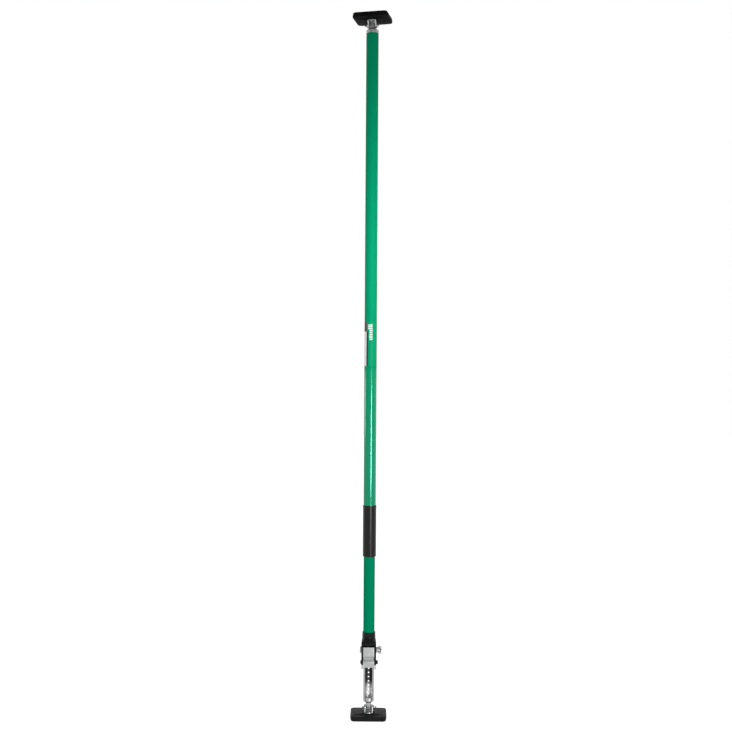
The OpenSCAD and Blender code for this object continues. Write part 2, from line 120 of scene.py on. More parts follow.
head_axis = joints["head_tilt"]["axis"]
head_yaw = math.atan2(head_axis[1], head_axis[0])
AS_BUILT = Matrix.Identity(4)
AT_CEILING = (Matrix.Translation((0, 0, total_h)) @ Matrix.Rotation(head_yaw, 4, "Z")
              @ Matrix.Rotation(math.pi, 4, "Y"))
# Turns for solids drawn along Z, and for side views drawn as (y, z) outlines
ALONG_X = Matrix.Rotation(math.pi / 2, 4, "Y")
ALONG_MINUS_X = Matrix.Rotation(-math.pi / 2, 4, "Y")
ALONG_Y = Matrix.Rotation(-math.pi / 2, 4, "X")
SIDE_VIEW = Matrix(((0, 0, 1, 0), (1, 0, 0, 0), (0, 1, 0, 0), (0, 0, 0, 1)))


# ---- outlines and solids ----

def fillet(corners, closed=True, steps=5):
    """Corners (x, y, radius) become a path in which each corner is an arc."""
    path = []
    last = len(corners) - 1
    for i, (x, y, radius) in enumerate(corners):
        if radius == 0 or (not closed and i in (0, last)):
            path.append(Vector((x, y)))
            continue
        corner = Vector((x, y))
        back = Vector(corners[i - 1][:2]) - corner
        ahead = Vector(corners[(i + 1) % len(corners)][:2]) - corner
        half = back.angle(ahead) / 2
        run = min(radius / math.tan(half), back.length * 0.49, ahead.length * 0.49)
        middle = (back.normalized() + ahead.normalized()).normalized()
        centre = corner + middle * run / math.cos(half)
        start = corner + back.normalized() * run - centre
        end = corner + ahead.normalized() * run - centre
        turn = math.atan2(start.cross(end), start.dot(end))
        for k in range(steps + 1):
            path.append(centre + Matrix.Rotation(turn * k / steps, 2) @ start)
    return path


def supported(profile, loop):
    """Adds points near the ends of long runs, which keeps their shading straight."""
    points = [Vector(p) for p in profile]
    ends = points[1:] + points[:1] if loop else points[1:]
    result = []
    for a, b in zip(points, ends):
        result.append(a)
        if (b - a).length > 12:
            step = (b - a).normalized() * 0.5
            result += [a + step, b - step]
    return result if loop else result + [points[-1]]


def lathe(profile, loop=False, steps=STEPS):
    """Solid of revolution about Z from (radius, z) points; a tube's profile is a loop."""
    bm = bmesh.new()
    rings = []
    for r, z in supported(profile, loop):
        turns = [2 * math.pi * k / steps for k in range(steps)] if r > 1e-6 else [0]
        rings.append([bm.verts.new((r * math.cos(a), r * math.sin(a), z)) for a in turns])
    pairs = list(zip(rings, rings[1:]))
    if loop:
        pairs.append((rings[-1], rings[0]))
    for low, high in pairs:
        for k in range(steps):
            m = (k + 1) % steps
            quad = [low[k % len(low)], low[m % len(low)], high[m % len(high)], high[k % len(high)]]
            bm.faces.new(list(dict.fromkeys(quad)))
    return bm


def rod(radius, z0, z1, edge=0.3, steps=SMALL_STEPS):
    """A round bar along Z with slightly rounded ends."""
    outline = fillet([(0, z0, 0), (radius, z0, edge), (radius, z1, edge), (0, z1, 0)], closed=False)
    return lathe(outline, steps=steps)


def tube(r_out, r_in, z0, z1, edge=0.35, steps=STEPS):
    """A tube along Z with rounded rims."""
    outline = fillet([(r_out, z0, edge), (r_out, z1, edge), (r_in, z1, edge), (r_in, z0, edge)])
    return lathe(outline, loop=True, steps=steps)


def prism(outline, z0, z1):
    """An outline in the XY plane as a plate between z0 and z1."""
    bm = bmesh.new()
    low = [bm.verts.new((x, y, z0)) for x, y in outline]
    high = [bm.verts.new((x, y, z1)) for x, y in outline]
    bm.faces.new(low)
    bm.faces.new(high)
    for i in range(len(outline)):
        j = (i + 1) % len(outline)
        bm.faces.new((low[i], low[j], high[j], high[i]))
    return bm


def block(low, high):
    """A box between two corners."""
    outline = [(low[0], low[1]), (high[0], low[1]), (high[0], high[1]), (low[0], high[1])]
    return prism(outline, low[2], high[2])


def loft(rings):
    """A closed skin over rings of equally many points, from the first to the last."""
    bm = bmesh.new()
    rows = [[bm.verts.new(p) for p in ring] for ring in rings]
    count = len(rows[0])
    for low, high in zip(rows, rows[1:]):
        for k in range(count):
            m = (k + 1) % count
            bm.faces.new((low[k], low[m], high[m], high[k]))
    bm.faces.new(rows[0])
    bm.faces.new(rows[-1])
    return bm


def sheet(rows, thickness):
    """A bent sheet from rows of points on its outer side, thickened inwards."""
    bm = bmesh.new()
    grid = [[bm.verts.new(p) for p in row] for row in rows]
    for a, b in zip(grid, grid[1:]):
        for k in range(len(a) - 1):
            bm.faces.new((a[k], a[k + 1], b[k + 1], b[k]))
    bmesh.ops.remove_doubles(bm, verts=bm.verts, dist=0.01)
    bmesh.ops.recalc_face_normals(bm, faces=bm.faces)
    bmesh.ops.solidify(bm, geom=bm.faces, thickness=thickness)
    return bm


def joined(*parts):
    """Several bmeshes as one, with each left a closed shell of its own."""
    whole = bmesh.new()
    for part in parts:
        mesh = bpy.data.meshes.new("part")
        part.to_mesh(mesh)
        part.free()
        whole.from_mesh(mesh)
        bpy.data.meshes.remove(mesh)
    return whole


def moved(bm, matrix):
    """The same solid, turned and shifted."""
    bm.transform(matrix)
    return bm


def at(x, y, z, turn=AS_BUILT):
    """A place for a solid that is turned first."""
    return Matrix.Translation((x, y, z)) @ turn


def cross_bore(radius, y, z, reach=30):
    """A cutter along X that goes through a piece and past both its sides."""
    return moved(rod(radius, -reach, reach, 0), at(0, y, z, ALONG_X))


def thread(radius, pitch, z0, z1, depth=0.45):
    """A threaded bar: the radius falls into a groove that winds once each pitch."""
    rows = max(4, int((z1 - z0) / pitch * 8))
    rings = []
    for i in range(rows + 1):
        z = z0 + (z1 - z0) * i / rows
        ends = min(1.0, (z - z0) / (0.6 * pitch), (z1 - z) / (0.6 * pitch))
        ring = []
        for k in range(SMALL_STEPS):
            a = 2 * math.pi * k / SMALL_STEPS
            wave = abs(((z / pitch - k / SMALL_STEPS) % 1.0) * 2 - 1)
            r = radius - depth * (1 - wave) - depth * (1 - ends)
            ring.append((r * math.cos(a), r * math.sin(a), z))
        rings.append(ring)
    return loft(rings)


def hexagon(across_flats, z0, z1, chamfer=0.5):
    """A hexagonal head or nut whose corners are turned off at both ends."""
    steps = 60
    corner = across_flats / 2 / math.cos(math.pi / 6)
    rings = []
    for z, limit in ((z0, corner - chamfer), (z0 + chamfer * 0.7, corner),
                     (z1 - chamfer * 0.7, corner), (z1, corner - chamfer)):
        ring = []
        for k in range(steps):
            a = 2 * math.pi * k / steps
            off = (a + math.pi / 6) % (math.pi / 3) - math.pi / 6
            r = min(across_flats / 2 / math.cos(off), limit)
            ring.append((r * math.cos(a), r * math.sin(a), z))
        rings.append(ring)
    return loft(rings)


# ---- pieces ----

def to_object(name, bm):
    """An object from a solid, with its faces turned outwards."""
    mesh = bpy.data.meshes.new(name)
    bmesh.ops.recalc_face_normals(bm, faces=bm.faces)
    bm.to_mesh(mesh)
    bm.free()
    obj = bpy.data.objects.new(name, mesh)
    bpy.context.collection.objects.link(obj)
    return obj


def bake(obj):
    """Applies the object's modifiers to its mesh."""
    graph = bpy.context.evaluated_depsgraph_get()
    mesh = bpy.data.meshes.new_from_object(obj.evaluated_get(graph))
    obj.modifiers.clear()
    obj.data = mesh


def carve(obj, cutters, operation="DIFFERENCE"):
    """Cuts the solids out of the object, or keeps only what is inside them."""
    for cutter in cutters:
        tool = to_object("cutter", cutter)
        cut = obj.modifiers.new("cut", "BOOLEAN")
        cut.operation = operation
        cut.solver = "EXACT"
        cut.object = tool
        bake(obj)
        bpy.data.objects.remove(tool)


def piece(name, bm, body, material, replaces=(), cut=(), keep=(), edge=0.0,
          segments=2, place=AS_BUILT):
    """A finished piece of the object, drawn in millimetres and put on its body."""
    obj = to_object(name, bm)
    carve(obj, keep, "INTERSECT")
    carve(obj, cut)
    if edge:
        bevel = obj.modifiers.new("edges", "BEVEL")
        bevel.width = edge
        bevel.segments = segments
        bevel.limit_method = "ANGLE"
        bevel.angle_limit = BEVEL_ANGLE
        bevel.use_clamp_overlap = True
        bake(obj)
    obj.data.transform(Matrix.Scale(MM, 4) @ place)
    for polygon in obj.data.polygons:
        polygon.use_smooth = True
    obj.data.set_sharp_from_angle(angle=SHARP_ANGLE)
    obj.data.materials.clear()
    obj.data.materials.append(material)
    obj.name = name
    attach(obj, body)
    if replaces:
        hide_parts(*replaces)
    return obj


# ---- materials ----

def math_node(tree, operation, a, b=None, clamp=False):
    """A math node's result, from numbers or the outputs of other nodes."""
    node = tree.nodes.new("ShaderNodeMath")
    node.operation = operation
    node.use_clamp = clamp
    for socket, value in zip(node.inputs, (a, b)):
        if isinstance(value, (int, float)):
            socket.default_value = value
        elif value is not None:
            tree.links.new(value, socket)
    return node.outputs["Value"]


class Finish:
    """A Principled material with helpers for the noise that breaks up its surface."""

    def __init__(self, name, color, roughness, metallic=0.0, specular=0.5):
        self.material = bpy.data.materials.new(name)
        self.material.use_nodes = True
        self.tree = self.material.node_tree
        self.nodes, self.links = self.tree.nodes, self.tree.links
        self.shader = self.nodes["Principled BSDF"]
        self.shader.inputs["Base Color"].default_value = (*color, 1)
        self.shader.inputs["Roughness"].default_value = roughness
        self.shader.inputs["Metallic"].default_value = metallic
        self.shader.inputs["Specular IOR Level"].default_value = specular
        self.place = self.nodes.new("ShaderNodeTexCoord").outputs["Object"]

    def position(self):
        """The X, Y and Z of a point of the surface, in metres in the piece's frame."""
        node = self.nodes.new("ShaderNodeSeparateXYZ")
        self.links.new(self.place, node.inputs["Vector"])
        return node.outputs["X"], node.outputs["Y"], node.outputs["Z"]

    def noise(self, scale, detail=3, stretch=(1, 1, 1)):
        mapping = self.nodes.new("ShaderNodeMapping")
        mapping.inputs["Scale"].default_value = stretch
        self.links.new(self.place, mapping.inputs["Vector"])
        texture = self.nodes.new("ShaderNodeTexNoise")
        texture.inputs["Scale"].default_value = scale
        texture.inputs["Detail"].default_value = detail
        self.links.new(mapping.outputs["Vector"], texture.inputs["Vector"])
        return texture.outputs["Fac"]

    def ramp(self, value, stops):
        """Maps a value through (position, colour or grey) stops."""
        node = self.nodes.new("ShaderNodeValToRGB")
        elements = node.color_ramp.elements
        while len(elements) < len(stops):
            elements.new(0.5)
        for element, (position, color) in zip(elements, stops):
            element.position = position
            shade = color if isinstance(color, tuple) else (color, color, color)
            element.color = (*shade, 1)
        self.links.new(value, node.inputs["Fac"])
        return node.outputs["Color"]

    def math(self, operation, a, b=None, clamp=False):
        return math_node(self.tree, operation, a, b, clamp)

    def mix(self, factor, a, b):
        """Goes from a to b, each a colour or a node's output, as the factor rises."""
        node = self.nodes.new("ShaderNodeMix")
        node.data_type = "RGBA"
        self.links.new(factor, node.inputs[0])
        for socket, value in ((node.inputs[6], a), (node.inputs[7], b)):
            if isinstance(value, tuple):
                socket.default_value = (*value, 1)
            else:
                self.links.new(value, socket)
        return node.outputs[2]

    def edge_tint(self, shade):
        """Dims a metal's reflection where it is seen edge on."""
        self.shader.inputs["Specular Tint"].default_value = (shade, shade, shade, 1)

    def color(self, value):
        self.links.new(value, self.shader.inputs["Base Color"])

    def roughness(self, value):
        self.links.new(value, self.shader.inputs["Roughness"])

    def bump(self, height, strength, distance):
        node = self.nodes.new("ShaderNodeBump")
        node.inputs["Strength"].default_value = strength
        node.inputs["Distance"].default_value = distance
        self.links.new(height, node.inputs["Height"])
        self.links.new(node.outputs["Normal"], self.shader.inputs["Normal"])


GREEN = (0.001, 0.262, 0.122)
GREEN_DEEP = (0.001, 0.238, 0.108)


def green_paint(name, shine, gloss_top=None):
    """Powder coat: satin with a faint orange peel, and, where a height is given,
    polished in front below it."""
    fade_down, fade_round = 20, 120     # shares per metre in which the polish sets in
    finish = Finish(name, GREEN, 0.4, specular=shine)
    mottle = finish.noise(9, 4, (1, 1, 0.15))
    finish.color(finish.ramp(mottle, [(0.3, GREEN_DEEP), (0.7, GREEN)]))
    satin = finish.ramp(finish.noise(220, 2), [(0.3, 0.38), (0.7, 0.46)])
    if gloss_top is None:
        finish.roughness(satin)
    else:
        _, y, z = finish.position()
        depth = finish.math("SUBTRACT", gloss_top, z)
        below = finish.math("MULTIPLY", depth, fade_down, clamp=True)
        front = finish.math("MULTIPLY", y, -fade_round, clamp=True)
        gloss = finish.math("MULTIPLY", below, front)
        finish.roughness(finish.mix(gloss, satin, (0.1, 0.1, 0.1)))
        level = finish.mix(gloss, (shine, shine, shine), (0.6, 0.6, 0.6))
        finish.links.new(level, finish.shader.inputs["Specular IOR Level"])
    finish.shader.inputs["Specular Tint"].default_value = (0.3, 1, 0.8, 1)
    finish.bump(finish.noise(900, 2), 0.06, 0.0004)
    return finish.material


def zinc_plate(name, shade=0.62, roughness=0.34):
    """Bright zinc: cloudy brightness, fine rolling lines and soft dulled spots."""
    finish = Finish(name, (shade, shade, shade), roughness, metallic=0.85)
    finish.edge_tint(0.45)
    cloud = finish.noise(60, 4)
    light = (shade * 1.05, shade * 1.06, shade * 1.06)
    dull = (shade * 0.86, shade * 0.87, shade * 0.87)
    finish.color(finish.ramp(cloud, [(0.3, dull), (0.7, light)]))
    spots = [(0.25, roughness - 0.06), (0.75, roughness + 0.1)]
    finish.roughness(finish.ramp(finish.noise(150, 3), spots))
    finish.bump(finish.noise(500, 3, (1, 1, 0.08)), 0.12, 0.0002)
    return finish.material


def rack_plate(inner_r):
    """Zinc whose hollow side has painted shade, dark at the top under the housing, and painted
    light, bright at the bottom.
    """
    finish = Finish("rack_plate", (0.55, 0.55, 0.55), 0.4, metallic=0.85)
    finish.edge_tint(0.2)
    x, y, z = finish.position()
    square = finish.math("ADD", finish.math("MULTIPLY", x, x), finish.math("MULTIPLY", y, y))
    inside = finish.math("LESS_THAN", square, inner_r ** 2)
    height = finish.math("MULTIPLY", z, 4.0)
    # Painted shade and light: the inside goes from bright low down to near black high up, set by
    # height alone
    painted_shading = finish.ramp(height, [(0.25, 0.95), (0.345, 0.5), (0.4, 0.06)])
    plain = finish.ramp(finish.noise(60, 4), [(0.3, 0.3), (0.7, 0.4)])
    finish.color(finish.mix(inside, plain, painted_shading))
    finish.roughness(finish.ramp(finish.noise(150, 3), [(0.25, 0.3), (0.75, 0.46)]))
    finish.bump(finish.noise(500, 3, (1, 1, 0.08)), 0.12, 0.0002)
    return finish.material


def black_rubber(name, specular):
    """Moulded rubber: near black, dusty sheen, fine grain."""
    black, dusty = (0.0065, 0.0065, 0.0068), (0.011, 0.011, 0.0115)
    finish = Finish(name, black, 0.5, specular=specular)
    finish.color(finish.ramp(finish.noise(45, 5), [(0.35, black), (0.75, dusty)]))
    finish.roughness(finish.ramp(finish.noise(120, 3), [(0.3, 0.42), (0.7, 0.6)]))
    finish.bump(finish.noise(1400, 3), 0.2, 0.0003)
    return finish.material


def black_vinyl():
    """Dipped vinyl grip: satin black with soft waviness."""
    black, worn = (0.006, 0.006, 0.0063), (0.0085, 0.0085, 0.0088)
    finish = Finish("black_vinyl", black, 0.24, specular=0.2)
    finish.color(finish.ramp(finish.noise(30, 3), [(0.3, black), (0.7, worn)]))
    finish.roughness(finish.ramp(finish.noise(160, 3), [(0.3, 0.18), (0.7, 0.3)]))
    finish.bump(finish.noise(700, 2), 0.08, 0.0004)
    return finish.material


def black_nylon():
    """Moulded nylon housing: glossy black, slightly uneven."""
    deep, light = (0.003, 0.004, 0.0036), (0.006, 0.007, 0.0065)
    finish = Finish("black_nylon", deep, 0.2, specular=0.14)
    finish.color(finish.ramp(finish.noise(40, 3), [(0.3, deep), (0.7, light)]))
    finish.roughness(finish.ramp(finish.noise(90, 4), [(0.3, 0.1), (0.7, 0.24)]))
    finish.bump(finish.noise(130, 2), 0.25, 0.0006)
    return finish.material


def black_oxide():
    """Blackened steel with grey where the oxide is thin."""
    deep, thin = (0.014, 0.014, 0.015), (0.035, 0.034, 0.034)
    finish = Finish("black_oxide", deep, 0.35, metallic=0.6)
    finish.color(finish.ramp(finish.noise(200, 4), [(0.3, deep), (0.8, thin)]))
    finish.roughness(finish.ramp(finish.noise(300, 3), [(0.3, 0.28), (0.7, 0.45)]))
    finish.bump(finish.noise(900, 2), 0.1, 0.0002)
    return finish.material


def natural_nylon():
    """Undyed nylon: warm ivory with faint clouds."""
    ivory, pale = (0.56, 0.52, 0.43), (0.66, 0.62, 0.53)
    finish = Finish("natural_nylon", ivory, 0.45)
    finish.color(finish.ramp(finish.noise(50, 3), [(0.3, ivory), (0.7, pale)]))
    finish.bump(finish.noise(500, 2), 0.1, 0.0002)
    return finish.material


def spring_wire():
    """Bright drawn wire, finely grained."""
    finish = Finish("spring_wire", (0.5, 0.5, 0.5), 0.3, metallic=1.0)
    finish.roughness(finish.ramp(finish.noise(400, 3), [(0.3, 0.22), (0.7, 0.4)]))
    finish.bump(finish.noise(1500, 2), 0.1, 0.0001)
    return finish.material


def label_print(low_z, high_z):
    """The label's film: green like the tube, with a pale strip under a dark header
    round its left side, a dark line beside it, and a column of plain bars in front."""
    finish = Finish("label_print", GREEN, 0.4, specular=0.04)
    x, y, z = finish.position()
    turn = finish.math("ARCTAN2", x, finish.math("MULTIPLY", y, -1.0))
    share = finish.math("DIVIDE", finish.math("SUBTRACT", z, low_z), high_z - low_z)

    def between(value, low, high):
        """1 where the value is inside a range, and 0 outside."""
        above = finish.math("GREATER_THAN", value, low)
        return finish.math("MULTIPLY", above, finish.math("LESS_THAN", value, high))

    def patch(left, right, bottom, top):
        """A field: degrees round from the front, and shares of the film's height."""
        return finish.math("MULTIPLY", between(turn, math.radians(left), math.radians(right)),
                           between(share, bottom, top))

    bar_wave = finish.math("FRACT", finish.math("MULTIPLY", share, 24.0))
    column = finish.math("MAXIMUM", patch(-24, 17, 0.82, 0.95), patch(-12, 17, 0.59, 0.82))
    bars = finish.math("MULTIPLY", column, finish.math("LESS_THAN", bar_wave, 0.55))
    strip, header = patch(-140, -42, 0.0, 0.78), patch(-140, -35, 0.78, 1.0)
    line = patch(-42, -24, 0.0, 0.78)
    color = finish.mix(strip, GREEN, (0.78, 0.8, 0.79))
    color = finish.mix(header, color, (0.08, 0.085, 0.085))
    color = finish.mix(line, color, (0.02, 0.055, 0.045))
    color = finish.mix(bars, color, (0.75, 0.8, 0.78))
    finish.color(color)
    finish.roughness(finish.ramp(finish.noise(80, 3), [(0.3, 0.35), (0.7, 0.45)]))
    finish.bump(finish.noise(60, 2), 0.05, 0.0004)
    return finish.material


label_low, label_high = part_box("label_film")    # in metres, for the materials
upper_paint = green_paint("upper_paint", 0.03, gloss_top=label_low.z)
lower_paint = green_paint("lower_paint", 0.004)
zinc = zinc_plate("zinc", 0.42)
zinc_dull = zinc_plate("zinc_dull", 0.34, 0.42)
rack_zinc = rack_plate((rack_r - rack_wall / 2) * MM)
vinyl = black_vinyl()
nylon_black = black_nylon()
oxide = black_oxide()
nylon = natural_nylon()
wire = spring_wire()
label_film = label_print(label_low.z, label_high.z)


# ---- pad assemblies ----

def rounded_ring(width, depth, radius, z):
    half_w, half_d = width / 2, depth / 2
    corners = [(half_w, half_d, radius), (-half_w, half_d, radius),
               (-half_w, -half_d, radius), (half_w, -half_d, radius)]
    return [(p.x, p.y, z) for p in fillet(corners, steps=10)]


def pad():
    """Rubber pad: tapered to its face, with round edges and a hump that slopes from
    the bracket down to both ends."""
    w, d, t = pad_w, pad_d, pad_t
    corner_r = 12
    face_inset = 5.7            # how much smaller the face is than the sides above it
    face_rise = 6.4             # height over which the sides round into the face
    # Above that, the edge and the hump: inset in width, inset in depth, corner
    # radius, height
    crown = [
        (0, 0, corner_r, 8), (0, 0, corner_r, t - 1.4),
        (0.5, 0.5, 11.8, t - 0.5), (1.6, 1.6, 11.2, t - 0.1),
        (4, 4, 10.4, t), (16, 36, 9, t + 0.1), (18, 38, 8, t + 0.5), (32, 40.5, 7, t + 1.3),
        (46, 42.5, 6, t + 2.1), (60, 44.5, 5, t + 2.8), (66, 47, 4, t + 3)]
    rings = []
    for k in range(8):
        turn = math.pi / 2 * k / 7
        inset = 1 + face_inset * (1 - math.sin(turn))
        height = face_rise * (1 - math.cos(turn))
        rings.append(rounded_ring(w - inset, d - inset, corner_r - inset / 2, height))
    rings += [rounded_ring(w - dw, d - dd, radius, z) for dw, dd, radius, z in crown]
    return loft(rings)


def pad_cutters():
    """The bracket's seat on top, and the grooves of the gripping face below."""
    groove_pitch, groove_depth, groove_half = 8, 1.1, 1
    seat_w, seat_d = bracket_w / 2 + 0.2, bracket_d / 2 + 0.2
    seat = block((-seat_w, -seat_d, pad_t), (seat_w, seat_d, pad_t + 9))
    grooves = [block((-pad_w, y - groove_half, -1), (pad_w, y + groove_half, groove_depth))
               for y in range(-28, 29, groove_pitch)]
    return [seat] + grooves


def bracket():
    """A bent U of zinc sheet: flat base, two ears with round tops about the pivot."""
    bend = 5
    ear_foot = 13               # half the depth of an ear where it leaves the base
    ear_rows = (25.5, 23, 20.5)     # heights between the pivot and the bend
    ear_r = bracket_high.z - pivot_h
    half = bracket_w / 2
    base = bracket_low.z
    side = [(half, pivot_h + ear_r * math.sin(math.pi / 2 * (1 - k / 10))) for k in range(11)]
    side += [(half, z) for z in ear_rows]
    corner = fillet([(half, base + bend + 1, 0), (half, base, bend), (0, base, 0)],
                    closed=False, steps=8)
    right = side + [tuple(p) for p in corner[1:-1]] + [(4, base), (0, base)]
    path = right + [(-x, z) for x, z in reversed(right[:-1])]
    rows = []
    for v in [math.sin(math.pi / 2 * k / 8) for k in range(-8, 9)]:
        row = []
        for x, z in path:
            if z >= pivot_h:
                reach = math.sqrt(max(0, ear_r ** 2 - (z - pivot_h) ** 2))
            else:
                reach = ear_r + (pivot_h - z) / (pivot_h - base) * (ear_foot - ear_r)
            flat = min(1, max(0, (half - abs(x)) / bend))
            reach += (bracket_d / 2 - reach) * flat * flat * (3 - 2 * flat)
            row.append((x, v * reach, z))
        rows.append(row)
    return sheet(rows, bracket_t)


def pivot_bolt():
    """Domed head, plain shank in the ears, threaded tail in the nut."""
    half = bracket_w / 2
    head = fillet([(0, half + 2, 0), (2.6, half + 2, 1.2), (5, half + 0.9, 0.6), (5, half, 0.2),
                   (0, half, 0)], closed=False)
    shank = rod(pivot_r, -half - 6, half + 0.2, 0.1)
    tail_end = box_mm("foot_pivot_bolt")[1].x
    tail = thread(pivot_r, 1.0, half + 5.6, tail_end)
    return joined(moved(lathe(head, steps=SMALL_STEPS), ALONG_MINUS_X),
                  moved(shank, ALONG_X), moved(tail, ALONG_X))


def pivot_nut():
    """Lock nut: chamfered hexagon with a round collar that holds a nylon ring."""
    half = bracket_w / 2
    body = hexagon(10, half, half + 4.6)
    inner = pivot_r + 0.1
    collar = fillet([(inner, half + 4, 0), (4.6, half + 4, 0.2),
                     (4.5, half + 6, 0.7), (inner, half + 6, 0.2)])
    bore = rod(pivot_r + 0.05, half - 1, half + 7, 0, steps=32)
    return joined(body, lathe(collar, loop=True, steps=SMALL_STEPS)), bore


def rivets():
    """Domed heads of the two rivets that hold the bracket's base."""
    reach = 11.5
    z = pad_t + bracket_t
    dome = fillet([(0, z + 1.4, 0), (2.6, z + 1.4, 1.0), (4, z + 0.1, 0.3), (4, z, 0), (0, z, 0)],
                  closed=False)
    return joined(*(moved(lathe(dome, steps=32), at(0, y, 0)) for y in (-reach, reach)))


def neck(cone_z, rim_z, rim_t, rim_r, spigot_r, spigot):
    """Tongue, a swaged cone out to a plain rim, and the spigot inside the tube, with
    the side view that rounds the tongue's end and the bore for the pivot bolt."""
    end_r = 9
    low, high = pivot_h - end_r - 1, rim_z + spigot
    outline = fillet([
        (0, low, 0), (neck_r, low, 0), (neck_r, cone_z, 1.5), (rim_r, rim_z - rim_t, 0.8),
        (rim_r, rim_z, 0.3), (spigot_r, rim_z, 0.2), (spigot_r, high, 0.5), (0, high, 0)],
        closed=False)
    turns = [math.pi * (1 + k / 32) for k in range(33)]
    arc = [(end_r * math.cos(turn), pivot_h + end_r * math.sin(turn)) for turn in turns]
    side = [(-40, high + 5), (-40, pivot_h), *arc, (40, pivot_h), (40, high + 5)]
    rounded = moved(prism(side, -40, 40), SIDE_VIEW)
    return lathe(outline), rounded, cross_bore(pivot_r + 0.08, 0, pivot_h)


def pad_assembly(end, rubber, pad_body, neck_body, place, neck_sizes):
    """Pad, bracket, fasteners and neck, at the foot or upside down at the head."""
    piece(f"{end}_rubber_pad", pad(), pad_body, rubber, [f"{end}_pad"],
          cut=pad_cutters(), edge=0.35, place=place)
    piece(f"{end}_u_bracket", bracket(), pad_body, zinc, [f"{end}_bracket"],
          cut=[cross_bore(pivot_r, 0, pivot_h)], edge=0.35, place=place)
    piece(f"{end}_bolt", moved(pivot_bolt(), at(0, 0, pivot_h)), pad_body, zinc,
          [f"{end}_pivot_bolt"], place=place)
    nut, bore = pivot_nut()
    piece(f"{end}_lock_nut", nut, pad_body, zinc, [f"{end}_pivot_nut"], cut=[bore],
          place=place @ at(0, 0, pivot_h, ALONG_X))
    piece(f"{end}_rivet_heads", rivets(), pad_body, zinc, place=place)
    turned, rounded, bore = neck(*neck_sizes)
    piece(f"{end}_neck_fitting", turned, neck_body, zinc, [f"{end}_neck"],
          keep=[rounded], cut=[bore], edge=0.4, place=place)


# Each neck: cone's start, rim's top and thickness, rim's radius, spigot's radius and length
foot_neck = (rack_low.z - 5, rack_low.z, 1, rack_r, rack_r - rack_wall - 0.05, 9)
head_rim_z = total_h - upper_high.z
head_neck = (36.2, head_rim_z, 8.7, upper_r, upper_r - upper_wall - 0.05, 30)
pad_assembly("foot", black_rubber("foot_rubber", 0.1), "foot", "rack", AS_BUILT, foot_neck)
pad_assembly("head", black_rubber("head_rubber", 0.008), "head", "upper", AT_CEILING, head_neck)

# ---- tubes, grip, label ----

piece("upper_green_tube", tube(upper_r, upper_r - upper_wall, upper_low.z, upper_high.z),
      "upper", upper_paint, ["upper_tube"])
piece("lower_green_tube", tube(lower_r, lower_r - lower_wall, lower_low.z, lower_high.z),
      "lower", lower_paint, ["lower_tube"])


def grip():
    """A sleeve with a bead round its top and a soft lower edge."""
    low, high = grip_low.z, grip_high.z
    outline = fillet([
        (lower_r + 0.3, low, 0.4), (grip_r, low, 1.8), (grip_r, high - 6, 1.5),
        (grip_r + 0.6, high - 5, 1.0), (grip_r + 0.6, high, 0.8), (upper_r, high, 0.3),
        (upper_r, upper_low.z, 0), (lower_r + 0.3, upper_low.z, 0)])
    return lathe(outline, loop=True)


piece("vinyl_grip", grip(), "upper", vinyl, ["grip_sleeve"])


# ---- rack ----

def rack():
    """Round channel, open at the front, with rounded sheet edges."""
    steps = 72

    def wall(radius):
        start = math.asin(rack_gap / 2 / radius)
        turns = [start + (2 * math.pi - 2 * start) * k / steps for k in range(steps + 1)]
        return [(radius * math.sin(a), -radius * math.cos(a)) for a in turns]

    inner = wall(rack_r - rack_wall)
    return prism(wall(rack_r) + inner[::-1], rack_low.z, rack_high.z)


hole_count = int((rack_high.z - hole_pitch - first_hole_z) / hole_pitch) + 1
hole_heights = [first_hole_z + i * hole_pitch for i in range(hole_count)]
rack_holes = [moved(rod(hole_r, 0, 20, 0, steps=32), at(0, 0, z, ALONG_Y)) for z in hole_heights]
piece("rack_channel", rack(), "rack", rack_zinc, ["rack"], cut=rack_holes, edge=0.3)


# ---- housing ----

collar_r = 18.8
collar_low_z = 229.0
hood_z = 210.0
hood_front_y = -26.0
cheek_front_y = -24.0
back_y = 20.0
bay_half = 16.35                # half the width of the lever's bay
window_low_z, window_high_z = 166.0, 188.0
AT_FULCRUM = at(0, fulcrum.y, fulcrum.z, ALONG_X)
AT_HOLD = at(0, hold.y, hold.z, ALONG_X)


def section(front, back, half, radius):
    """Plan of the housing with points all along its sides, so that it blends evenly."""
    corners = [(half, front, radius), (half, back, 7), (-half, back, 7), (-half, front, radius)]
    path = fillet(corners, steps=10)
    ring = []
    for a, b in zip(path, path[1:] + path[:1]):
        parts = max(1, round((b - a).length / 1.5))
        ring += [a + (b - a) * k / parts for k in range(parts)]
    return [(p.x, p.y) for p in ring]


def blended(shape, share, z):
    """A section between the collar's circle, at share 0, and the given shape, at 1."""
    ring = []
    for x, y in shape:
        r = math.hypot(x, y)
        circle = (x / r * collar_r, y / r * collar_r)
        ring.append((circle[0] + (x - circle[0]) * share, circle[1] + (y - circle[1]) * share, z))
    return ring


def housing():
    """Collar round the tube, a hood that swells forward, and two cheeks below."""
    hood = section(hood_front_y, back_y, cheek_x, 5)
    body = [(x, max(y, cheek_front_y)) for x, y in hood]
    top = housing_high.z
    rings = [blended(hood, 0, top - 0.01)]
    for dz in (3, 8, top - collar_low_z):
        rings.append(blended(hood, 0, top - dz))
    for k in range(1, 9):
        share = k / 8
        smooth = share * share * (3 - 2 * share)
        rings.append(blended(hood, smooth, collar_low_z + (hood_z + 6 - collar_low_z) * share))
    rings.append([(x, y, hood_z) for x, y in hood])
    rings.append([(x, y, hood_z - 0.02) for x, y in body])
    rings.append([(x, y, housing_low.z) for x, y in body])
    return loft(list(reversed(rings)))


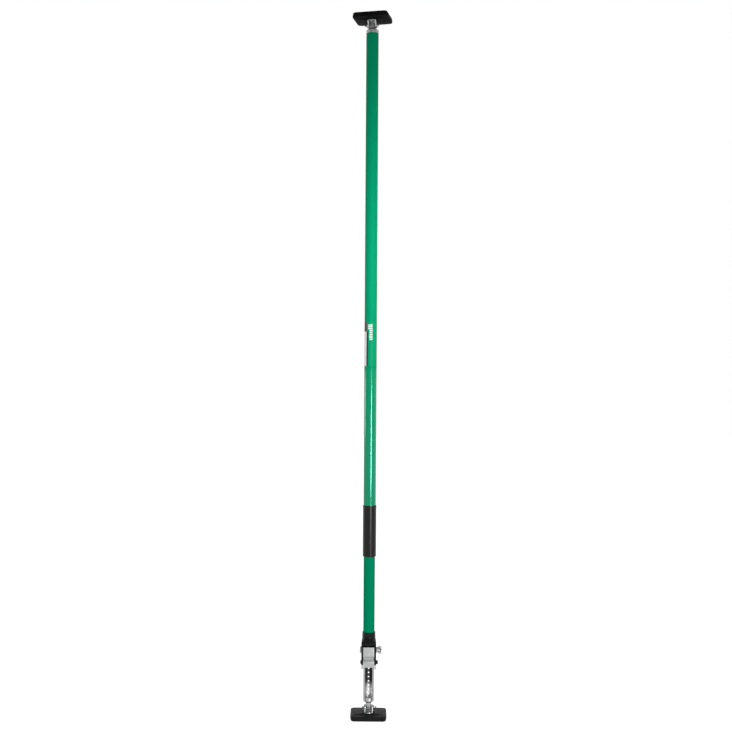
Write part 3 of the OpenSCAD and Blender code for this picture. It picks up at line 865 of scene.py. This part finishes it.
def housing_cutters():
    """Bores for the tube and the rack, the lever's bay, the back window, cross holes."""
    low, top = housing_low.z, housing_high.z
    tube_bore = rod(lower_r, lower_low.z, top + 5, 0, steps=STEPS)
    rack_bore = rod(rack_r + 0.3, low - 5, lower_low.z + 1, 0, steps=STEPS)
    lever_bay = block((-bay_half, cheek_front_y - 8, low - 5), (bay_half, -4, hood_z))
    hood_bay = block((-bay_half, hood_front_y + 3, hood_z - 1), (bay_half, -4, hood_z + 2.5))
    window = block((-4.5, 0, window_low_z), (4.5, back_y + 5, window_high_z))
    bolt_hole = cross_bore(fulcrum_r, fulcrum.y, fulcrum.z, 40)
    pin_hole = cross_bore(hold_r, hold.y, hold.z, 40)
    return [tube_bore, rack_bore, lever_bay, hood_bay, window, bolt_hole, pin_hole]


def cheek_side():
    """The housing's side view, which rounds the cheeks' lower corners."""
    low, high = housing_low.z - 0.1, housing_high.z + 50
    front, back = cheek_front_y - 0.1, back_y + 0.1
    outline = fillet([(-40, high, 0), (-40, hood_z - 1, 0), (front, hood_z - 1, 0),
                      (front, low, 9), (back, low, 9), (back, high, 0)], steps=10)
    return moved(prism([tuple(p) for p in outline], -40, 40), SIDE_VIEW)


piece("jack_housing", housing(), "lower", nylon_black, ["housing"],
      keep=[cheek_side()], cut=housing_cutters(), edge=0.9, segments=3)


# ---- lever ----

lever_front_y = fulcrum.y - 11.4
lever_ear_r = 7.3
lever_t = 2.0
flange_y = -19.8                # back edge of the lever's sides below the ears
hollow_z, crest_z, lip_z = 172.5, 162.5, 158.0
ear_end_z, taper_z = 178.0, 160.0


def web_y(z):
    """The lever's front: flat, a hollow for the fingers, a crest, a lip that rolls back."""
    hollow = 3.6 * math.exp(-((z - hollow_z) / 4.6) ** 2)
    crest = 1.2 * math.exp(-((z - crest_z) / 4.5) ** 2)
    lip = 1.6 * (max(0, lip_z - z) / 10) ** 2
    return lever_front_y + hollow - crest + lip


def flange_back(z):
    """How far back the lever's sides reach at a height."""
    ear_low_z = fulcrum.z - lever_ear_r
    ear_high_z = fulcrum.z + lever_ear_r
    if ear_low_z < z < ear_high_z:
        return fulcrum.y + math.sqrt(lever_ear_r ** 2 - (z - fulcrum.z) ** 2)
    if z >= ear_high_z:
        return fulcrum.y - (z - ear_high_z) * 2.6
    if z > ear_end_z:
        return fulcrum.y - (ear_low_z - z) / (ear_low_z - ear_end_z) * 4.2
    if z > taper_z:
        return flange_y
    return max(web_y(z) + 2.6, flange_y - (taper_z - z) * 0.3)


def lever():
    """A U of zinc sheet with rounded bends."""
    low, high = box_mm("lever")
    half = high.x
    bend = 2.4
    rows = []
    count = 76
    for i in range(count + 1):
        z = low.z + (high.z - low.z) * i / count
        front = web_y(z)
        back = max(flange_back(z), front + bend + 0.2)
        side = [(half, back + (front + bend - back) * k / 6) for k in range(6)]
        corner = fillet([(half, front + 10, 0), (half, front, bend), (0, front, 0)],
                        closed=False, steps=8)
        flat = [(half * share, front) for share in (0.6, 0.4, 0.2, 0)]
        right = side + [tuple(p) for p in corner[1:-1]] + flat
        path = right + [(-x, y) for x, y in reversed(right[:-1])]
        rows.append([(x, y, z) for x, y in path])
    return sheet(rows, lever_t)


lever_hole = cross_bore(fulcrum_r + 0.08, fulcrum.y, fulcrum.z)
piece("jack_lever", lever(), "lever", zinc, ["lever"], cut=[lever_hole], edge=0.3)


# ---- fulcrum bolt, washer, wing nut, holding pin ----

def fulcrum_bolt():
    """Hexagon head, plain shank through the cheeks, threaded tail for the wing nut."""
    bolt_low, bolt_high = box_mm("fulcrum_bolt")
    head = hexagon(17, bolt_low.x, -cheek_x, 0.8)
    plain = rod(fulcrum_r - 0.02, -cheek_x - 0.2, cheek_x + 1, 0.1)
    tail = thread(fulcrum_r - 0.05, 1.25, cheek_x + 0.5, bolt_high.x, 0.5)
    return joined(head, plain, tail)


washer = tube(8, fulcrum_r + 0.1, cheek_x, cheek_x + 1.6, 0.25, SMALL_STEPS)
piece("fulcrum_hex_bolt", moved(fulcrum_bolt(), AT_FULCRUM), "lower", zinc,
      ["fulcrum_bolt"])
piece("fulcrum_flat_washer", moved(washer, AT_FULCRUM), "lower", zinc,
      ["fulcrum_washer"])


def wing_nut():
    """Cast wing nut along +Z: a conical hub, just off its washer, and two wings."""
    bore_r = fulcrum_r + 0.08
    hub = fillet([(bore_r, 0.05, 0.3), (7.2, 0.05, 0.6), (5.6, 9, 0.9), (bore_r, 9, 0.3)])
    parts = [lathe(hub, loop=True, steps=SMALL_STEPS)]
    for s in (-1, 1):
        wing = fillet([(s * 4.6, 1, 0.5), (s * 7.6, 1.6, 1), (s * 11.2, 6.5, 2.5),
                       (s * 11.2, 13.6, 3.2), (s * 4.3, 13.6, 2.6), (s * 4.6, 8, 1)])
        plate = prism([tuple(p) for p in wing], -1.7, 1.7)
        parts.append(moved(plate, Matrix.Rotation(math.pi / 2, 4, "X")))
    return joined(*parts)


nut_base_x = box_mm("wing_nut")[0].x
piece("cast_wing_nut", moved(wing_nut(), at(nut_base_x, fulcrum.y, fulcrum.z, ALONG_X)),
      "wing_nut", zinc_dull, ["wing_nut"], edge=0.6, segments=3)


def hold_pin():
    """Hexagon head and a plain shank through both cheeks."""
    low, high = box_mm("hold_pin")
    head = hexagon(10, cheek_x, high.x, 0.6)
    return joined(head, rod(hold_r, low.x, cheek_x + 0.2, 0.3))


piece("hold_shoulder_bolt", moved(hold_pin(), AT_HOLD), "lower", oxide,
      ["hold_pin"])
piece("hold_thin_nut", moved(hexagon(10, -cheek_x - 2.6, -cheek_x, 0.5), AT_HOLD),
      "lower", oxide, ["hold_pin_nut"],
      cut=[cross_bore(hold_r + 0.02, hold.y, hold.z)])

# ---- CAD nodes that keep their shape ----

CARRIED_OVER = {
    "foot_backing_plate": zinc_dull, "head_backing_plate": zinc_dull,
    "foot_rivets": zinc, "head_rivets": zinc, "housing_rivets": oxide,
    "pawl_carrier": zinc_dull, "drive_pin": zinc, "drive_pawl": oxide,
    "drive_pawl_spring": wire, "hold_pawl": zinc, "hold_pawl_spring": wire,
    "lock_plug": nylon, "lock_stud": zinc, "lock_expander": nylon,
    "lock_cone": zinc, "lock_nut": zinc, "label_film": label_film,
}
for node, finish in CARRIED_OVER.items():
    mesh = frame["nodes"][node].data
    for index in range(len(mesh.materials)):
        mesh.materials[index] = finish


# ---- studio ----

# In metres, with the sensor in millimetres
CAMERA_DISTANCE = 3.0
CAMERA_HEIGHT = 0.999
CAMERA_SIDE = -0.0128
CAMERA_TURN = math.radians(0.5)
CAMERA_ROLL = math.radians(0.35)
VIEW_WIDTH = 2.083              # metres across the frame at the prop
SENSOR = 36.0
WORLD_LIGHT = 0.42              # strength of the world as a source of light
ROOM_LIGHT = 0.3                # strength that is mirrored from the camera's side
FLOOR_GLOW = 0.76
FLOOR_REACH = 12.0
FLOOR_GAP = 0.0004              # below the foot, so that no faces share a plane


def add_camera():
    data = bpy.data.cameras.new("camera")
    data.sensor_width = SENSOR
    data.lens = SENSOR * CAMERA_DISTANCE / VIEW_WIDTH
    camera = bpy.data.objects.new("camera", data)
    upright = Matrix.Rotation(math.pi / 2, 4, "X") @ Matrix.Rotation(CAMERA_ROLL, 4, "Z")
    stand = Matrix.Translation((CAMERA_SIDE, -CAMERA_DISTANCE, CAMERA_HEIGHT))
    camera.matrix_world = Matrix.Rotation(CAMERA_TURN, 4, "Z") @ stand @ upright
    bpy.context.collection.objects.link(camera)
    bpy.context.scene.camera = camera


def add_area(name, place, target, size, power, spread=180):
    """A rectangular lamp that faces its target, its power in watts and its spread in
    degrees."""
    data = bpy.data.lights.new(name, "AREA")
    data.shape = "RECTANGLE"
    data.size, data.size_y = size
    data.energy = power
    data.spread = math.radians(spread)
    lamp = bpy.data.objects.new(name, data)
    lamp.location = place
    aim = Vector(target) - Vector(place)
    lamp.rotation_euler = aim.to_track_quat("-Z", "Y").to_euler()
    bpy.context.collection.objects.link(lamp)


def add_world():
    """White to the camera and, behind and beside the object, in what it mirrors. What
    it mirrors from the camera's side is dimmer, and as a light the world is softer."""
    world = bpy.data.worlds.new("studio")
    bpy.context.scene.world = world
    world.use_nodes = True
    tree = world.node_tree
    nodes, links = tree.nodes, tree.links
    path = nodes.new("ShaderNodeLightPath")
    direction = nodes.new("ShaderNodeSeparateXYZ")
    links.new(nodes.new("ShaderNodeTexCoord").outputs["Generated"], direction.inputs["Vector"])
    room = nodes.new("ShaderNodeMapRange")
    room.interpolation_type = "SMOOTHSTEP"
    room.inputs["From Min"].default_value = -0.75
    room.inputs["From Max"].default_value = 0.1
    room.inputs["To Min"].default_value = ROOM_LIGHT
    links.new(direction.outputs["Y"], room.inputs["Value"])
    rays = path.outputs
    mirrored = math_node(tree, "MAXIMUM", rays["Is Glossy Ray"], rays["Is Transmission Ray"])
    mirrored = math_node(tree, "MULTIPLY", mirrored, room.outputs["Result"])
    seen = math_node(tree, "MAXIMUM", mirrored, rays["Is Camera Ray"])
    background = nodes["Background"]
    background.inputs["Color"].default_value = (1, 1, 1, 1)
    strength = math_node(tree, "MAXIMUM", seen, WORLD_LIGHT)
    links.new(strength, background.inputs["Strength"])


def add_floor():
    """A pale floor that glows just enough to meet the white background."""
    mesh = bpy.data.meshes.new("floor")
    reach = FLOOR_REACH
    corners = [(-reach, -reach, 0), (reach, -reach, 0), (reach, reach, 0), (-reach, reach, 0)]
    mesh.from_pydata(corners, [], [(0, 1, 2, 3)])
    floor = bpy.data.objects.new("floor", mesh)
    floor.location.z = -FLOOR_GAP
    bpy.context.collection.objects.link(floor)
    finish = Finish("pale_floor", (0.86, 0.86, 0.86), 0.9, specular=0.1)
    finish.roughness(finish.ramp(finish.noise(3), [(0.3, 0.85), (0.7, 0.95)]))
    path = finish.nodes.new("ShaderNodeLightPath")
    seen = finish.math("MAXIMUM", path.outputs["Is Camera Ray"], path.outputs["Is Glossy Ray"])
    glow = finish.math("MULTIPLY", seen, FLOOR_GLOW)
    finish.shader.inputs["Emission Color"].default_value = (1, 1, 1, 1)
    finish.links.new(glow, finish.shader.inputs["Emission Strength"])
    mesh.materials.append(finish.material)


add_camera()
add_world()
add_floor()
add_area("key_light", (1.35, -3.2, 0.52), (0, 0, 0.52), (0.7, 0.62), 9.0, 70)
add_area("pool_light", (0.85, -2.05, 1.35), (0, 0, 1.26), (0.3, 0.3), 1.35, 30)
add_area("top_light", (0.2, -1.3, 1.45), (0, 0, 0.15), (0.3, 0.3), 0.06, 40)
add_area("head_light", (0.5, -1.4, 1.6), (0, 0, 1.95), (0.3, 0.3), 0.12, 50)
add_area("left_light", (-2.2, 0.6, 1.1), (0, 0, 1.1), (0.8, 0.9), 12)
bpy.context.scene.view_settings.view_transform = "Standard"
